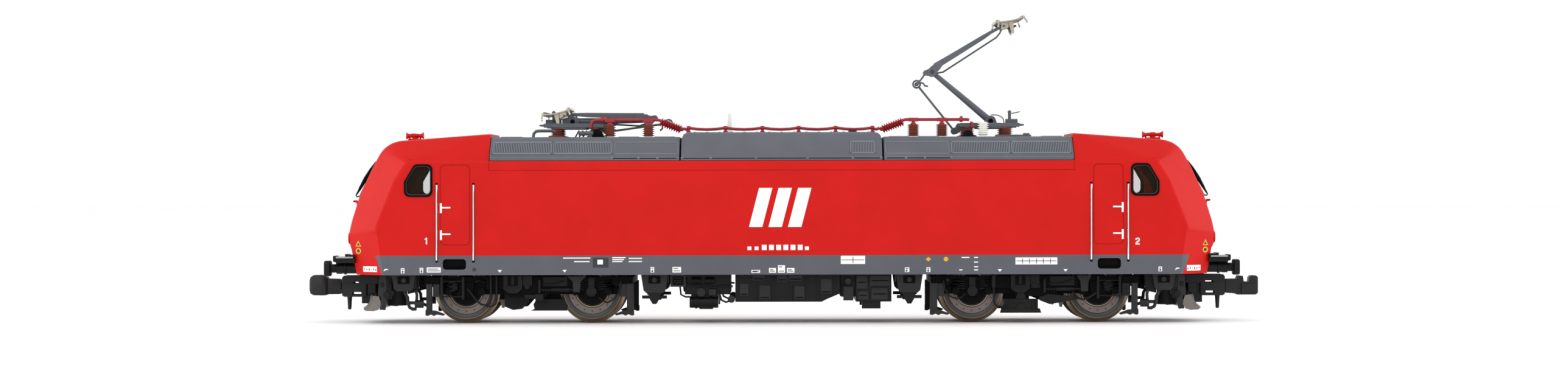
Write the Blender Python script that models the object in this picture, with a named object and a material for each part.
"""Model electric locomotive, scale 1:160, as separate pieces: chassis, drive, bogies, shell, pantographs.

Lengths in this script are millimetres, and MM turns them into the meshes' metres. X runs along the
locomotive with cab 1 at -X and cab 2 at +X, and Y across it. Heights count from the rail head. The
wheel flanges reach FLANGE below it, so every height is lifted by FLANGE and the model stands on Z = 0.
"""

import math

import bmesh
import bpy
from mathutils import Matrix, Vector

MM = 0.001

# Fits: running holes are larger by RUN, pieces that are pressed or clipped together keep GAP.
RUN = 0.05
GAP = 0.1

# Wheels and bogies.
FLANGE = 0.5
TREAD_R = 3.75
WHEEL_INNER_Y = 3.7
WHEEL_OUTER_Y = 5.9
AXLE_R = 0.75
BOGIE_X = 32.6
HALF_WHEELBASE = 8.125
SIDE_FRAME_Y = (6.3, 7.9)
BOGIE_HALF_LENGTH = 13.4

# Gear train: a worm over each bogie drives a worm gear, two idlers and two axle gears.
MODULE = 0.35
WORM_Z = 12.5
WORM_PITCH_R = 1.3
WORM_LENGTH = 6.6
WORM_GEAR_TEETH = 20
SPUR_TEETH = 12
WORM_GEAR_Z = WORM_Z - WORM_PITCH_R - MODULE * WORM_GEAR_TEETH / 2
IDLER_X = 3.93
IDLER_Z = 3.71
GEAR_HALF_WIDTH = 0.55
STUB_R = 0.5
SHAFT_R = 0.5
FLYWHEEL_R = 4.75
FLYWHEEL_X = (11.2, 16.2)

# Body shell.
HALF_WIDTH = 9.3
NOSE_HALF_WIDTH = 6.2
WALL = 0.9
SKIRT_Z = 5.8
EAVES_Z = 20.4
HOOD_X = 37.8
ROOF_OPENING = (36.8, 7.5)
NOSE = (
    (49.3, 23.05),
    (50.3, 22.75),
    (51.15, 22.2),
    (51.75, 21.5),
    (52.65, 19.87),
    (54.4, 16.15),
    (55.5, 12.65),
    (55.85, 11.0),
    (55.65, 9.4),
    (54.8, SKIRT_Z),
)
CORNER = ((47.97, EAVES_Z), (49.6, 17.8), (51.9, 12.05), (52.0, 11.4), (51.6, 10.2), (51.0, SKIRT_Z))
CAB_ROOF = (37.9, 23.9)
SIDE_WINDOW = ((44.8, 15.9), (48.4, 15.9), (48.4, 17.9), (47.15, 20.1), (44.8, 20.1))
WINDSCREEN = ((-5.6, 15.7), (5.6, 15.7), (5.2, 20.7), (-5.2, 20.7))

# Ends: buffers and couplers.
BUFFER_FACE_X = 59.05
BUFFER_Y = 5.47
BUFFER_Z = 6.6
BUFFER_SHAFT_R = 0.67
COUPLER_PIVOT_X = 49.5
COUPLER_LIFT = (55.45, 4.0)
COUPLER_TIP_X = 61.75

# Pantographs: A base pivot, B knee, C control rod pivot, D control rod end, G head pivot.
PIVOT_A = (27.3, 25.6)
PIVOT_C = (22.6, 24.3)
LOWER_ARM = 9.96
UPPER_ARM = 11.03
KNEE_TO_D = (-2.02, -1.59)
RAISED = (40.2, 32.5)
FOLDED = (1.0, 3.0)
PIN_R = 0.18
END_HOOD_TOP = 23.5
MIDDLE_HOOD_TOP = 24.1
BUSBAR_Y = -3.3


# ---------------------------------------------------------------- materials


def material(name, colour, roughness, metallic=0.0, alpha=1.0):
    made = bpy.data.materials.new(name)
    made.use_nodes = True
    shader = made.node_tree.nodes["Principled BSDF"]
    shader.inputs["Base Color"].default_value = (*colour, 1.0)
    shader.inputs["Roughness"].default_value = roughness
    shader.inputs["Metallic"].default_value = metallic
    shader.inputs["Alpha"].default_value = alpha
    return made


PALETTE = {
    "zinc": ((0.33, 0.33, 0.34), 0.5, 1.0),
    "steel": ((0.6, 0.6, 0.6), 0.3, 1.0),
    "brass": ((0.75, 0.55, 0.25), 0.3, 1.0),
    "red": ((0.68, 0.02, 0.017), 0.35),
    "grey": ((0.14, 0.15, 0.165), 0.5),
    "black": ((0.016, 0.016, 0.017), 0.55),
    "insulator": ((0.2, 0.05, 0.02), 0.45),
    "clear": ((0.9, 0.92, 0.92), 0.08, 0.0, 0.25),
    "board": ((0.02, 0.12, 0.05), 0.5),
    "cab_grey": ((0.1, 0.1, 0.11), 0.6),
}


# ---------------------------------------------------------------- shapes


def point(x, y, z):
    return Vector((x, y, z + FLANGE)) * MM


def shape(bm):
    """An unnamed object with this mesh, faces pointing out."""
    bmesh.ops.recalc_face_normals(bm, faces=bm.faces)
    mesh = bpy.data.meshes.new("shape")
    bm.to_mesh(mesh)
    bm.free()
    made = bpy.data.objects.new("shape", mesh)
    bpy.context.scene.collection.objects.link(made)
    return made


def on_axis(axis, a, b, along):
    """The point whose coordinates across the axis are a and b, in X, Y, Z order."""
    return {"X": (along, a, b), "Y": (a, along, b), "Z": (a, b, along)}[axis]


def prism(outline, axis, low, high):
    """An outline, given across an axis, extruded along it."""
    bm = bmesh.new()
    verts = [bm.verts.new(point(*on_axis(axis, a, b, low))) for a, b in outline]
    face = bm.faces.new(verts)
    grown = bmesh.ops.extrude_face_region(bm, geom=[face])
    moved = [v for v in grown["geom"] if isinstance(v, bmesh.types.BMVert)]
    step = Vector(on_axis(axis, 0.0, 0.0, high - low)) * MM
    bmesh.ops.translate(bm, verts=moved, vec=step)
    return shape(bm)


def box(x, y, z):
    """A block from its three ranges."""
    outline = ((min(x), min(y)), (max(x), min(y)), (max(x), max(y)), (min(x), max(y)))
    return prism(outline, "Z", min(z), max(z))


def circle(a, b, radius, sides):
    turns = [2 * math.pi * (i + 0.5) / sides for i in range(sides)]
    return [(a + radius * math.cos(t), b + radius * math.sin(t)) for t in turns]


def cylinder(axis, centre, radius, low, high, sides=12):
    return prism(circle(*centre, radius, sides), axis, low, high)


def lathe(axis, centre, profile, sides):
    """A turned solid: the profile lists (along, radius) from one flat end to the other."""
    bm = bmesh.new()
    rings = []
    for along, radius in profile:
        ring = [bm.verts.new(point(*on_axis(axis, a, b, along))) for a, b in circle(*centre, radius, sides)]
        rings.append(ring)
    for one, two in zip(rings, rings[1:]):
        for i in range(sides):
            j = (i + 1) % sides
            bm.faces.new((one[i], one[j], two[j], two[i]))
    bm.faces.new(rings[0])
    bm.faces.new(rings[-1])
    return shape(bm)


def hull(points):
    bm = bmesh.new()
    for p in points:
        bm.verts.new(point(*p))
    bmesh.ops.convex_hull(bm, input=bm.verts)
    bmesh.ops.dissolve_limit(bm, angle_limit=math.radians(0.5), verts=bm.verts, edges=bm.edges)
    return shape(bm)


def rod(start, end, radius, sides=6):
    """A round bar between two points."""
    bm = bmesh.new()
    a, b = point(*start), point(*end)
    turn = (b - a).to_track_quat("Z", "Y").to_matrix().to_4x4()
    place = Matrix.Translation((a + b) / 2) @ turn
    size = {"radius1": radius * MM, "radius2": radius * MM, "depth": (b - a).length}
    bmesh.ops.create_cone(bm, cap_ends=True, segments=sides, matrix=place, **size)
    return shape(bm)


def sweep(path, section):
    """A closed section carried along a path: section(i) gives its corners at step i, as points."""
    bm = bmesh.new()
    rings = [[bm.verts.new(point(*p)) for p in section(i)] for i in range(len(path))]
    for one, two in zip(rings, rings[1:]):
        for i in range(len(one)):
            j = (i + 1) % len(one)
            bm.faces.new((one[i], one[j], two[j], two[i]))
    bm.faces.new(rings[0])
    bm.faces.new(rings[-1])
    return shape(bm)


def tube_xz(path, y, radius, sides=6):
    """A round tube along a path of (x, z) points in one plane across the locomotive."""

    def section(i):
        before, after = path[max(i - 1, 0)], path[min(i + 1, len(path) - 1)]
        run = Vector((after[0] - before[0], after[1] - before[1])).normalized()
        x, z = path[i]
        ring = circle(0.0, 0.0, radius, sides)
        return [(x - run.y * a, y + b, z + run.x * a) for a, b in ring]

    return sweep(path, section)


def combine(piece, operation, tools):
    """Adds, cuts or keeps the tools' shapes with one Boolean, and hides the tools."""
    if not tools:
        return
    group = bpy.data.collections.new(f"{piece.name}_{operation.lower()}")
    bpy.context.scene.collection.children.link(group)
    for tool in tools:
        bpy.context.scene.collection.objects.unlink(tool)
        group.objects.link(tool)
        tool.hide_render = True
        tool.display_type = "WIRE"
    modifier = piece.modifiers.new(operation.title(), "BOOLEAN")
    modifier.operation = operation
    modifier.operand_type = "COLLECTION"
    modifier.collection = group
    modifier.solver = "EXACT"


def solid(name, look, base, add=(), cut=(), origin=None, smooth=False):
    """Names a piece, gives it its material, joins and cuts it, and sets its origin."""
    base.name = name
    base.data.name = name
    base.data.materials.append(LOOKS[look])
    combine(base, "UNION", add)
    combine(base, "DIFFERENCE", cut)
    if origin:
        home = point(*origin)
        base.data.transform(Matrix.Translation(-home))
        base.location = home
    if smooth:
        base.data.shade_smooth()
        base.data.set_sharp_from_angle(angle=math.radians(35))
    return base


def difference(base, cut):
    """A helper shape with pieces cut from it."""
    base.name = "helper"
    combine(base, "DIFFERENCE", cut)
    return base


def both(low, high):
    """The same stretch of Y on each side of the middle."""
    return ((-high, -low), (low, high))


# ---------------------------------------------------------------- gears


def gear_outline(centre, teeth, turn, share):
    """Straight-flanked teeth; share is the tooth's part of the pitch at the pitch line."""
    pitch_r = MODULE * teeth / 2
    half = share * math.pi * MODULE / 2
    corners = []
    for i in range(teeth):
        middle = turn + 2 * math.pi * i / teeth
        for side, radius, width in (
            (-1, pitch_r - 1.2 * MODULE, half * 1.35),
            (-1, pitch_r + MODULE, half * 0.6),
            (1, pitch_r + MODULE, half * 0.6),
            (1, pitch_r - 1.2 * MODULE, half * 1.35),
        ):
            angle = middle + side * width / radius
            corners.append((centre[0] + radius * math.cos(angle), centre[1] + radius * math.sin(angle)))
    return corners


def meshing_turn(centre, teeth, turn, other, other_teeth):
    """The turn at which the other gear's spaces meet this gear's teeth."""
    towards = math.atan2(other[1] - centre[1], other[0] - centre[0])
    carried = (turn - towards) * teeth / other_teeth
    return towards + math.pi - carried + math.pi / other_teeth


def make_gear(name, centre, teeth, turn, share, half_width, stub):
    """A gear with a stub shaft on each side, which runs in the gearbox's plates."""
    wheel = prism(gear_outline(centre, teeth, turn, share), "Y", -half_width, half_width)
    shaft = cylinder("Y", centre, STUB_R, -stub, stub, 12)
    look = "brass" if teeth == WORM_GEAR_TEETH else "black"
    return solid(name, look, wheel, [shaft], origin=(centre[0], 0, centre[1]))


def make_worm(name, centre_x):
    """A single-start worm. Its thread crosses the lowest line of the worm over the bogie's middle."""
    lead = math.pi * MODULE
    steps_per_turn = 10
    turns = WORM_LENGTH / lead - 0.5
    count = int(turns * steps_per_turn)
    path = [(i - count / 2) / steps_per_turn for i in range(count + 1)]
    root = WORM_PITCH_R - 1.25 * MODULE
    crest = WORM_PITCH_R + MODULE
    corners = ((root - 0.12, -0.26), (crest, -0.09), (crest, 0.09), (root - 0.12, 0.26))

    def section(i):
        angle = 2 * math.pi * path[i] - math.pi / 2
        middle = centre_x + lead * path[i]
        return [(middle + x, r * math.cos(angle), WORM_Z + r * math.sin(angle)) for r, x in corners]

    low, high = centre_x - WORM_LENGTH / 2, centre_x + WORM_LENGTH / 2
    core = cylinder("X", (0, WORM_Z), root, low, high)
    bore = cylinder("X", (0, WORM_Z), SHAFT_R + RUN, low - 1, high + 1)
    return solid(name, "brass", core, [sweep(path, section)], [bore], origin=(centre_x, 0, WORM_Z))


# ---------------------------------------------------------------- chassis and drive


def make_chassis():
    """The die-cast block with its motor bay, flywheel bays, shaft slot and the two bogie towers."""
    top = 17.4
    slab = box((-42.8, 42.8), (-8.0, 8.0), (8.9, top))
    add = [box((-14.0, 14.0), (-7.4, 7.4), (6.6, 9.4))]
    cut = [
        box((-10.5, 10.5), (-6.1, 6.1), (7.4, 20)),
        cylinder("X", (0, WORM_Z), SHAFT_R + RUN, -39.2, 39.2),
        box((-39.2, 39.2), (-SHAFT_R - RUN, SHAFT_R + RUN), (WORM_Z, 20)),
    ]
    for end in (-1, 1):
        middle = end * BOGIE_X
        add.append(box((end * 42.0, end * 54.0), (-5.4, 5.4), (8.8, 10.0)))
        add += [box((end * 21.0, end * 23.0), y, (top - 0.5, top + 0.5)) for y in both(4.6, 6.4)]
        cut.append(box((end * 10.2, end * 17.2), (-5.1, 5.1), (6.0, 20)))
        cut.append(box((middle - 4.6, middle + 4.6), (-2.4, 2.4), (10.5, 20)))
        cut.append(box((middle - 5.5, middle + 5.5), (-3.3, 3.3), (8.0, 10.95)))
    solid("chassis_frame", "zinc", slab, add, cut)


def make_motor():
    half = ((3.9, 7.6), (5.9, 9.6), (5.9, 15.4), (3.9, 17.3))
    flats = [*half, *((-y, z) for y, z in reversed(half))]
    can = prism(flats, "X", -9.0, 9.0)
    bosses = [cylinder("X", (0, WORM_Z), 1.6, -10.1, 10.1)]
    bore = [cylinder("X", (0, WORM_Z), SHAFT_R + RUN, -11, 11)]
    solid("motor_housing", "steel", can, bosses, bore)
    shaft = cylinder("X", (0, WORM_Z), SHAFT_R, -39.0, 39.0)
    solid("motor_shaft", "steel", shaft, origin=(0, 0, WORM_Z), smooth=True)
    for number, end in ((1, -1), (2, 1)):
        low, high = sorted(end * x for x in FLYWHEEL_X)
        disc = cylinder("X", (0, WORM_Z), FLYWHEEL_R, low, high, 20)
        bore = [cylinder("X", (0, WORM_Z), SHAFT_R + RUN, low - 1, high + 1)]
        middle = ((low + high) / 2, 0, WORM_Z)
        solid(f"flywheel_{number}", "brass", disc, cut=bore, origin=middle, smooth=True)
        make_worm(f"worm_{number}", end * BOGIE_X)


def make_circuit_board():
    board = box((-40, 40), (-7.2, 7.2), (18.0, 18.8))
    holes = [cylinder("Z", (x, 0), 1.0, 17, 20, 12) for x in (-38, 38)]
    notches = [box((x - 1.5, x + 1.5), y, (17, 20)) for x in (-14, 14) for y in both(6.4, 8)]
    solid("circuit_board", "board", board, cut=holes + notches)


def make_underframe():
    """The equipment between the bogies: a deep tank with boxes before and behind it."""
    plate = box((-12.7, 14.3), (-6.8, 6.8), (5.5, 6.5))
    side_view = ((-6.0, 6.45), (-6.0, 2.2), (5.2, 2.2), (5.8, 2.6), (7.3, 3.1), (7.3, 6.45))
    tank = prism(side_view, "Y", -7.6, 7.6)
    left = box((-12.6, -6.6), (-7.0, 7.0), (2.5, 5.7))
    low_left = box((-11.9, -8.2), (-7.3, 7.3), (1.6, 4.2))
    right = box((9.4, 14.2), (-7.4, 7.4), (2.1, 5.8))
    foot = box((10.3, 12.7), (-6.4, 6.4), (1.3, 3.4))
    small = box((7.8, 9.0), (-7.2, 7.2), (2.3, 5.7))
    solid("underframe_box", "black", plate, [tank, left, low_left, right, foot, small])


def make_cab_interior(number, end):
    floor = box((end * 43.4, end * 52.6), (-5.4, 5.4), (10.2, 11.0))
    back = box((end * 43.2, end * 44.2), (-7.0, 7.0), (10.2, 18.8))
    side_view = ((49.6, 10.6), (52.5, 10.6), (52.5, 14.4), (50.4, 15.2), (49.6, 14.6))
    desk = prism([(end * x, z) for x, z in side_view], "Y", -5.3, 5.3)
    seat = box((end * 46.0, end * 47.8), (1.2, 3.4), (10.8, 13.2))
    seat_back = box((end * 45.6, end * 46.3), (1.2, 3.4), (10.8, 15.4))
    solid(f"cab_interior_{number}", "cab_grey", floor, [back, desk, seat, seat_back])


def make_end_frame(number, end):
    """What hangs under each nose: the coupler's mounting, brackets and the rail guard."""
    plate = box((end * 47.4, end * 52.4), (-7.6, 7.6), (4.95, 5.6))
    add = [box((end * 48.2, end * 52.0), (-3.0, 3.0), (5.4, 8.7))]
    for y in both(4.0, 7.2):
        add.append(box((end * 52.2, end * 55.0), y, (4.95, 5.6)))
    for y in both(5.9, 7.5):
        add.append(box((end * 47.5, end * 50.6), y, (3.5, 5.3)))
        add.append(box((end * 48.4, end * 49.4), y, (1.5, 3.7)))
    for y in both(4.2, 5.6):
        add.append(box((end * 51.9, end * 53.2), y, (1.8, 5.3)))
    front = ((52.2, -7.0), (53.7, -2.8), (54.1, 0), (53.7, 2.8), (52.2, 7.0))
    back = ((51.4, 7.0), (52.9, 2.8), (53.2, 0), (52.9, -2.8), (51.4, -7.0))
    guard = [(end * x, y) for x, y in (*front, *back)]
    blade = difference(prism(guard, "Z", 1.0, 3.4), [box((end * 50, end * 56), (-3.2, 3.2), (2.3, 4))])
    add += [blade, cylinder("Z", (end * COUPLER_PIVOT_X, 0), 0.5, 2.7, 5.3, 12)]
    solid(f"end_frame_{number}", "black", plate, add)


# ---------------------------------------------------------------- couplers


def make_coupler(number, end):
    x, z = COUPLER_LIFT
    eye = cylinder("Z", (end * COUPLER_PIVOT_X, 0), 1.2, 3.0, 4.6)
    bar = box((end * 50.3, end * 54.2), (-0.8, 0.8), (3.0, 4.6))
    pocket = box((end * 53.9, end * 57.35), (-1.5, 1.5), (2.7, 5.6))
    pin = cylinder("Z", (end * 56.75, 0), 0.32, 1.0, 2.9, 10)
    hollow = box((end * 54.55, end * 58.5), (-1.05, 1.05), (3.1, 5.2))
    hole = cylinder("Z", (end * COUPLER_PIVOT_X, 0), 0.5 + RUN + 0.02, 2, 6, 12)
    solid(f"coupler_{number}_arm", "black", eye, [bar, pocket, pin], [hollow, hole],
          origin=(end * COUPLER_PIVOT_X, 0, 3.8))
    boss = cylinder("Y", (end * x, z), 0.6, -0.85, 0.85, 12)
    stem = box((end * x, end * 58.05), (-0.8, 0.8), (3.4, 4.65))
    neck = box((end * 57.7, end * 59.8), (-1.1, 1.1), (3.1, 5.1))
    tip = COUPLER_TIP_X
    side_view = ((59.55, 2.95), (tip - 0.3, 2.95), (tip, 3.5), (tip, 4.5), (60.95, 5.6), (59.55, 5.6))
    head = prism([(end * a, b) for a, b in side_view], "Y", -1.6, 1.6)
    notch = box((end * 60.0, end * 60.9), (-0.2, 1.8), (4.2, 6))
    solid(f"coupler_{number}_head", "black", boss, [stem, neck, head], [notch], origin=(end * x, 0, z))


# ---------------------------------------------------------------- bogies


def make_bogie_frame(number, middle):
    """Both side frames with their cross members."""
    top = ((0.0, 5.6), (BOGIE_HALF_LENGTH, 5.6), (BOGIE_HALF_LENGTH, 3.9), (12.2, 3.4), (10.4, 3.9))
    bottom = ((9.7, 2.5), (6.5, 2.5), (5.7, 3.6), (3.5, 3.6), (3.0, 1.9), (0.0, 1.9))
    half = (*top, *bottom)
    outline = [(middle + x, z) for x, z in half]
    outline += [(middle - x, z) for x, z in reversed(half[1:-1])]
    low, high = SIDE_FRAME_Y
    near = prism(outline, "Y", -high, -low)
    far = prism(outline, "Y", low, high)
    bars = [box((middle - 1.0, middle + 1.0), (-low - 0.3, low + 0.3), (1.95, 3.3))]
    for side in (-1, 1):
        ends = (middle + side * (BOGIE_HALF_LENGTH - 0.7), middle + side * (BOGIE_HALF_LENGTH - 0.05))
        bars.append(box(ends, (-low - 0.3, low + 0.3), (4.0, 5.5)))
    solid(f"bogie_{number}_frame", "black", near, [far, *bars], origin=(middle, 0, SKIRT_Z))


def make_gearbox(number, middle):
    """Two plates joined by bridges: the axles snap in from below, the gears turn between the plates."""
    high_y = 1.7
    low_y = GEAR_HALF_WIDTH + 0.2
    outline = []
    for side, order in ((1, 1), (-1, -1)):
        half = ((1.3, 3.45), (1.3, 2.4), (11.3, 2.4), (11.3, 6.9), (4.7, 6.9), (4.7, 10.6))
        outline += [(middle + side * x, z) for x, z in half[::order]]
    block = prism(outline, "Y", -high_y, high_y)
    half_bay = ((10.75, 1.0), (10.75, 6.3), (4.05, 6.3), (4.05, 12.0))
    bay = [(middle + x, z) for x, z in (*half_bay, *((-x, z) for x, z in reversed(half_bay)))]
    cut = [prism(bay, "Y", -low_y, low_y), cylinder("Y", (middle, WORM_GEAR_Z), STUB_R + RUN, -3, 3)]
    for side in (-1, 1):
        axle = middle + side * HALF_WHEELBASE
        cut.append(cylinder("Y", (middle + side * IDLER_X, IDLER_Z), STUB_R + RUN, -3, 3))
        cut.append(cylinder("Y", (axle, TREAD_R), AXLE_R + RUN, -3, 3))
        cut.append(box((axle - AXLE_R - RUN, axle + AXLE_R + RUN), (-3, 3), (1.0, TREAD_R)))
    solid(f"bogie_{number}_gearbox", "black", block, cut=cut, origin=(middle, 0, SKIRT_Z))


def make_wheel(name, x, side):
    """A flanged wheel whose tread tapers outwards, bored for its axle."""
    flange_r = TREAD_R + FLANGE
    profile = (
        (WHEEL_INNER_Y, flange_r - 0.3),
        (WHEEL_INNER_Y + 0.25, flange_r),
        (WHEEL_INNER_Y + 0.55, TREAD_R + 0.05),
        (WHEEL_OUTER_Y, TREAD_R - 0.05),
    )
    wheel = lathe("Y", (x, TREAD_R), [(side * along, radius) for along, radius in profile], 24)
    bore = cylinder("Y", (x, TREAD_R), AXLE_R + RUN, -WHEEL_OUTER_Y - 1, WHEEL_OUTER_Y + 1)
    solid(name, "steel", wheel, cut=[bore], origin=(x, 0, TREAD_R), smooth=True)


def make_wheelset(number, place, x, turn):
    gear = prism(gear_outline((x, TREAD_R), SPUR_TEETH, turn, 0.42), "Y", -GEAR_HALF_WIDTH, GEAR_HALF_WIDTH)
    axle = cylinder("Y", (x, TREAD_R), AXLE_R, -WHEEL_OUTER_Y + 0.1, WHEEL_OUTER_Y - 0.1)
    solid(f"bogie_{number}_axle_{place}", "steel", gear, [axle], origin=(x, 0, TREAD_R))
    for label, side in (("left", 1), ("right", -1)):
        make_wheel(f"bogie_{number}_wheel_{place}_{label}", x, side)


def make_bogie(number, end):
    middle = end * BOGIE_X
    make_bogie_frame(number, middle)
    make_gearbox(number, middle)
    worm_gear = (middle, WORM_GEAR_Z)
    worm_gear_turn = math.pi / 2 + math.pi / WORM_GEAR_TEETH
    make_gear(f"bogie_{number}_worm_gear", worm_gear, WORM_GEAR_TEETH, worm_gear_turn, 0.38, 0.5, 1.6)
    for place, side in (("outer", end), ("inner", -end)):
        idler = (middle + side * IDLER_X, IDLER_Z)
        axle = (middle + side * HALF_WHEELBASE, TREAD_R)
        idler_turn = meshing_turn(worm_gear, WORM_GEAR_TEETH, worm_gear_turn, idler, SPUR_TEETH)
        axle_turn = meshing_turn(idler, SPUR_TEETH, idler_turn, axle, SPUR_TEETH)
        name = f"bogie_{number}_idler_{place}"
        make_gear(name, idler, SPUR_TEETH, idler_turn, 0.42, GEAR_HALF_WIDTH, 1.6)
        make_wheelset(number, place, axle[0], axle_turn)


# ---------------------------------------------------------------- shell and roof


def body_hull(inset, bottom):
    """The whole body's outer form, or with an inset the space inside its walls."""
    points = []
    for end in (-1, 1):
        for side in (-1, 1):
            for x, z in (CAB_ROOF, *NOSE):
                back = inset * 1.15 if x != CAB_ROOF[0] else 0.0
                height = bottom if z == SKIRT_Z else z - (inset if z > EAVES_Z else 0.0)
                points.append((end * (x - back), side * (NOSE_HALF_WIDTH - inset * 0.6), height))
            for x, z in CORNER:
                height = bottom if z == SKIRT_Z else z - (inset * 0.5 if z == EAVES_Z else 0.0)
                points.append((end * (x - inset * 0.6), side * (HALF_WIDTH - inset), height))
    return hull(points)


def make_shell():
    body = body_hull(0.0, SKIRT_Z)
    above_deck = box((-HOOD_X - WALL, HOOD_X + WALL), (-12, 12), (EAVES_Z - WALL, 30))
    inside = difference(body_hull(WALL, SKIRT_Z - 2), [above_deck])
    cut = [
        inside,
        box((-HOOD_X, HOOD_X), (-12, 12), (EAVES_Z, 30)),
        box((-ROOF_OPENING[0], ROOF_OPENING[0]), (-ROOF_OPENING[1], ROOF_OPENING[1]), (18, 21)),
    ]
    for end in (-1, 1):
        cut.append(prism([(end * x, z) for x, z in SIDE_WINDOW], "Y", -10, 10))
        cut.append(prism(WINDSCREEN, "X", *sorted((end * 50.5, end * 58))))
        for y in both(8.1, 10):
            cut.append(box((end * 40.6, end * 43.5), y, (6.6, 7.8)))
        for side in (-1, 1):
            centre = (side * BUFFER_Y, BUFFER_Z)
            cut.append(cylinder("X", centre, BUFFER_SHAFT_R + RUN, *sorted((end * 53, end * 58))))
    solid("body_shell", "red", body, cut=cut)


def hood_section(half_bottom, half_top, bottom, edge, top):
    half = ((half_bottom, bottom), (half_bottom, edge), (half_top, top))
    return (*half, *((-y, z) for y, z in reversed(half)))


def make_roof():
    """Three hoods on one grey moulding, which plugs into the opening of the shell's deck."""
    low = EAVES_Z + 0.05
    x_plug, y_plug = (size - GAP for size in ROOF_OPENING)
    plate = box((0.15 - HOOD_X, HOOD_X - 0.15), (-9.2, 9.2), (low, 20.95))
    plug = box((-x_plug, x_plug), (-y_plug, y_plug), (19.7, low + 0.2))
    middle = prism(hood_section(9.1, 6.2, 20.6, 21.1, MIDDLE_HOOD_TOP), "X", -12.9, 12.9)
    add = [plug, middle]
    cut = [prism(hood_section(6.7, 5.4, 18.0, 20.8, MIDDLE_HOOD_TOP - 0.9), "X", -12.1, 12.1)]
    for end in (-1, 1):
        outside = hood_section(9.1, 6.5, 20.6, 21.1, END_HOOD_TOP)
        inside = hood_section(6.7, 5.6, 18.0, 20.8, END_HOOD_TOP - 0.9)
        add.append(prism(outside, "X", *sorted((end * 13.1, end * 37.6))))
        cut.append(prism(inside, "X", *sorted((end * 13.9, end * 36.0))))
    solid("roof", "grey", plate, add, cut)


def make_glazing(number, end):
    """One clear moulding behind a cab's windscreen and side windows."""
    outside = body_hull(WALL + GAP, SKIRT_Z)
    around = [
        box((-60 * end, 44.7 * end), (-12, 12), (0, 30)),
        box((40 * end, 60 * end), (-12, 12), (0, 15.1)),
        box((40 * end, 60 * end), (-12, 12), (20.95, 30)),
        body_hull(WALL + 0.6, SKIRT_Z),
    ]
    solid(f"glazing_{number}", "clear", outside, cut=around)


def make_buffer(number, label, end, side):
    centre = (side * BUFFER_Y, BUFFER_Z)
    sleeve = cylinder("X", centre, BUFFER_SHAFT_R, *sorted((end * 54.4, end * 58.4)))
    half = ((0.6, -1), (1, -0.5), (1, 0.5), (0.6, 1))
    corners = (*half, *((-a, -b) for a, b in half))
    plate = [(centre[0] + a * 1.2, centre[1] + b) for a, b in corners]
    head = prism(plate, "X", *sorted((end * (BUFFER_FACE_X - 0.8), end * BUFFER_FACE_X)))
    solid(f"buffer_{number}_{label}", "black", sleeve, [head])


def make_busbar():
    """The roof's high-voltage line on its posts."""
    mast, line = 25.75, 24.65
    outer = ((24.6, 25.0), (24.4, 25.5), (24.0, mast), (15.9, mast))
    half = (*outer, (15.3, 25.6), (13.3, 24.75), (12.7, line))
    path = [(-x, z) for x, z in half] + [(x, z) for x, z in reversed(half)]
    bar = tube_xz(path, BUSBAR_Y, 0.2)
    posts = []
    for x in (-12.1, -7.3, -2.5, 2.2, 7.0, 11.8):
        posts.append(cylinder("Z", (x, BUSBAR_Y), 0.25, MIDDLE_HOOD_TOP + GAP, line + 0.1, 6))
    for x in (-22.3, -17.3, 17.1, 20.8):
        posts.append(cylinder("Z", (x, BUSBAR_Y), 0.6, END_HOOD_TOP + GAP, 25.4, 8))
        posts.append(cylinder("Z", (x, BUSBAR_Y), 0.25, 25.2, mast, 6))
    solid("busbar", "red", bar, posts)


# ---------------------------------------------------------------- pantographs


def joints_at(lower, upper):
    """The pivots' places for a lower and an upper arm angle, on the side where X is positive."""
    a, b = math.radians(lower), math.radians(upper)
    knee = (PIVOT_A[0] - LOWER_ARM * math.cos(a), PIVOT_A[1] + LOWER_ARM * math.sin(a))
    head = (knee[0] + UPPER_ARM * math.cos(b), knee[1] + UPPER_ARM * math.sin(b))
    turn = math.radians(upper - RAISED[1])
    dx, dz = KNEE_TO_D
    end_x = knee[0] + dx * math.cos(turn) - dz * math.sin(turn)
    end_z = knee[1] + dx * math.sin(turn) + dz * math.cos(turn)
    return knee, (end_x, end_z), head


def make_pantograph_mounts(number, end):
    """The insulators on their plinth, and the base frame that they carry."""
    plinth = box((end * 22.9, end * 30.2), (-3.5, 3.5), (END_HOOD_TOP + GAP, END_HOOD_TOP + 0.3))
    posts = [cylinder("Z", (end * x, y), 0.84, 23.7, 24.75, 10) for x in (24.2, 29.2) for y in (-2.6, 2.6)]
    solid(f"pantograph_{number}_insulators", "insulator", plinth, posts)
    ring = box((end * 23.1, end * 31.0), (-3.2, 3.2), (24.85, 25.25))
    window = box((end * 23.7, end * 30.4), (-2.6, 2.6), (24, 26))
    spine = box((end * 23.3, end * 30.8), (-0.9, 0.9), (24.85, 25.15))
    ear = [(end * x, z) for x, z in ((26.7, 25.0), (27.9, 25.0), (27.6, 25.95), (27.0, 25.95))]
    lugs = []
    for y in both(0.5, 0.9):
        lugs.append(prism(ear, "Y", *y))
        lugs.append(box((end * 22.3, end * 23.6), y, (24.0, 24.65)))
        lugs.append(box((end * 23.2, end * 23.6), y, (24.0, 25.0)))
    pins = [
        cylinder("Y", (end * PIVOT_A[0], PIVOT_A[1]), PIN_R, -0.7, 0.7, 8),
        cylinder("Y", (end * PIVOT_C[0], PIVOT_C[1]), PIN_R, -0.7, 0.7, 8),
    ]
    frame = difference(ring, [window])
    bar = cylinder("Y", (end * 28.9, 25.2), 0.15, -3.0, 3.0, 8)
    solid(f"pantograph_{number}_base", "grey", spine, [frame, bar, *lugs, *pins])


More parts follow.
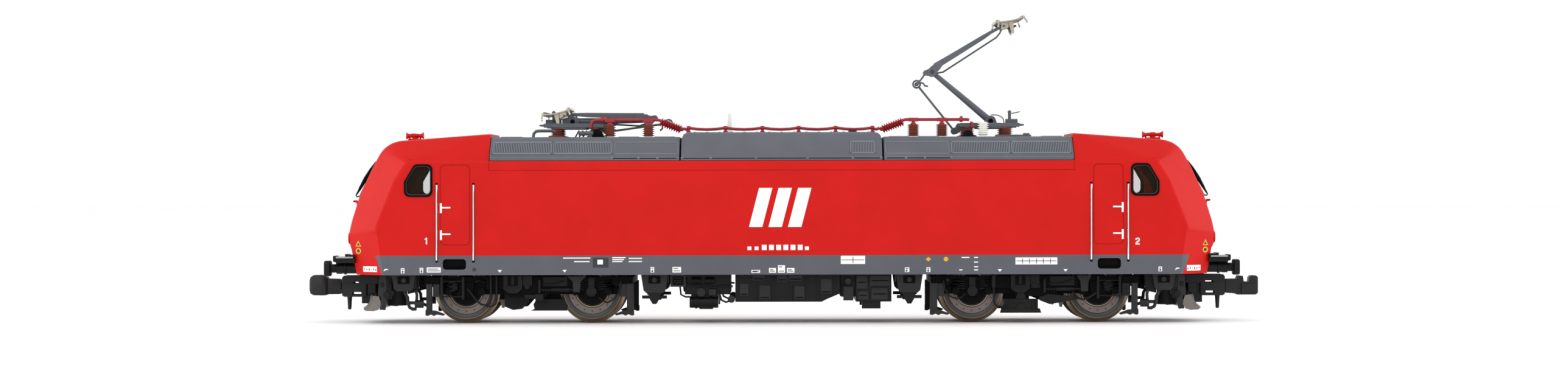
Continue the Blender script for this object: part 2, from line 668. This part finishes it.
def make_lower_arm(number, end, knee):
    ax, az = end * PIVOT_A[0], PIVOT_A[1]
    bx, bz = end * knee[0], knee[1]
    beam = rod((ax, 0, az), (bx, 0, bz), 0.3)
    eyes = [cylinder("Y", (x, z), 0.42, -0.4, 0.4, 10) for x, z in ((ax, az), (bx, bz))]
    holes = [cylinder("Y", (x, z), PIN_R + RUN, -2, 2, 8) for x, z in ((ax, az), (bx, bz))]
    solid(f"pantograph_{number}_lower_arm", "grey", beam, eyes, holes, origin=(ax, 0, az))


def make_upper_arm(number, end, knee, rod_end, head):
    """Two tubes from the knee to the head, and a tail that the control rod pulls."""
    bx, bz = end * knee[0], knee[1]
    dx, dz = end * rod_end[0], rod_end[1]
    gx, gz = end * head[0], head[1]
    pin = cylinder("Y", (bx, bz), PIN_R, -0.9, 0.9, 8)
    add = [cylinder("Y", (gx, gz), PIN_R, -2.0, 2.0, 8)]
    add.append(cylinder("Y", (dx, dz), 0.15, -0.8, 0.8, 8))
    for side in (-1, 1):
        add.append(rod((bx, side * 0.72, bz), (gx, side * 1.2, gz), 0.2))
        add.append(rod((bx, side * 0.72, bz), (dx, side * 0.72, dz), 0.2))
        add.append(cylinder("Y", (bx, bz), 0.38, *sorted((side * 0.52, side * 0.92)), 10))
        add.append(cylinder("Y", (dx, dz), 0.28, *sorted((side * 0.52, side * 0.92)), 8))
    solid(f"pantograph_{number}_upper_arm", "grey", pin, add, origin=(bx, 0, bz))


def make_control_rod(number, end, rod_end):
    cx, cz = end * PIVOT_C[0], PIVOT_C[1]
    dx, dz = end * rod_end[0], rod_end[1]
    bar = rod((cx, 0, cz), (dx, 0, dz), 0.15)
    eyes = [cylinder("Y", (cx, cz), 0.34, -0.35, 0.35, 10), cylinder("Y", (dx, dz), 0.6, -0.25, 0.25)]
    holes = [cylinder("Y", (cx, cz), PIN_R + RUN, -2, 2, 8), cylinder("Y", (dx, dz), 0.42, -2, 2, 10)]
    solid(f"pantograph_{number}_control_rod", "grey", bar, eyes, holes, origin=(cx, 0, cz))


def make_head(number, end, head, tilt):
    """Two contact strips with horns, on two rockers."""
    gx, gz = end * head[0], head[1]
    lean = math.radians(tilt)
    across = ((-6.4, -0.9), (-5.6, 0.3), (-4.4, 0.9), (4.4, 0.9), (5.6, 0.3), (6.4, -0.9))

    def tilted(dx, dz):
        x = dx * math.cos(lean) - dz * math.sin(lean)
        z = dx * math.sin(lean) + dz * math.cos(lean)
        return gx + end * x, gz + z

    def strip(middle):
        def section(i):
            y, dz = across[i]
            corners = ((-0.25, 0.0), (0.25, 0.0), (0.25, 0.3), (-0.25, 0.3))
            places = [tilted(middle + a, dz + b) for a, b in corners]
            return [(x, y, z) for x, z in places]

        return sweep(across, section)

    half = ((0.4, -0.3), (2.15, 0.8), (2.15, 1.05))
    rocker = [tilted(*p) for p in (*half, *((-a, b) for a, b in reversed(half)))]
    rockers = [prism(rocker, "Y", *y) for y in both(1.5, 1.8)]
    holes = [cylinder("Y", (gx, gz), PIN_R + RUN, -3, 3, 8)]
    add = [strip(2.0), *rockers]
    solid(f"pantograph_{number}_head", "steel", strip(-2.0), add, holes, origin=(gx, 0, gz))


def make_pantograph(number, end, pose, tilt):
    knee, rod_end, head = joints_at(*pose)
    make_pantograph_mounts(number, end)
    make_lower_arm(number, end, knee)
    make_upper_arm(number, end, knee, rod_end, head)
    make_control_rod(number, end, rod_end)
    make_head(number, end, head, tilt)


# ---------------------------------------------------------------- assembly


def clear_scene():
    for old in list(bpy.data.objects):
        bpy.data.objects.remove(old, do_unlink=True)


clear_scene()
LOOKS = {name: material(name, *values) for name, values in PALETTE.items()}
make_chassis()
make_motor()
make_circuit_board()
make_underframe()
make_shell()
make_roof()
make_busbar()
for number, end in ((1, -1), (2, 1)):
    make_cab_interior(number, end)
    make_end_frame(number, end)
    make_coupler(number, end)
    make_bogie(number, end)
    make_glazing(number, end)
    for label, side in (("left", 1), ("right", -1)):
        make_buffer(number, label, end, side)
make_pantograph(1, -1, FOLDED, -12.0)
make_pantograph(2, 1, RAISED, 12.0)
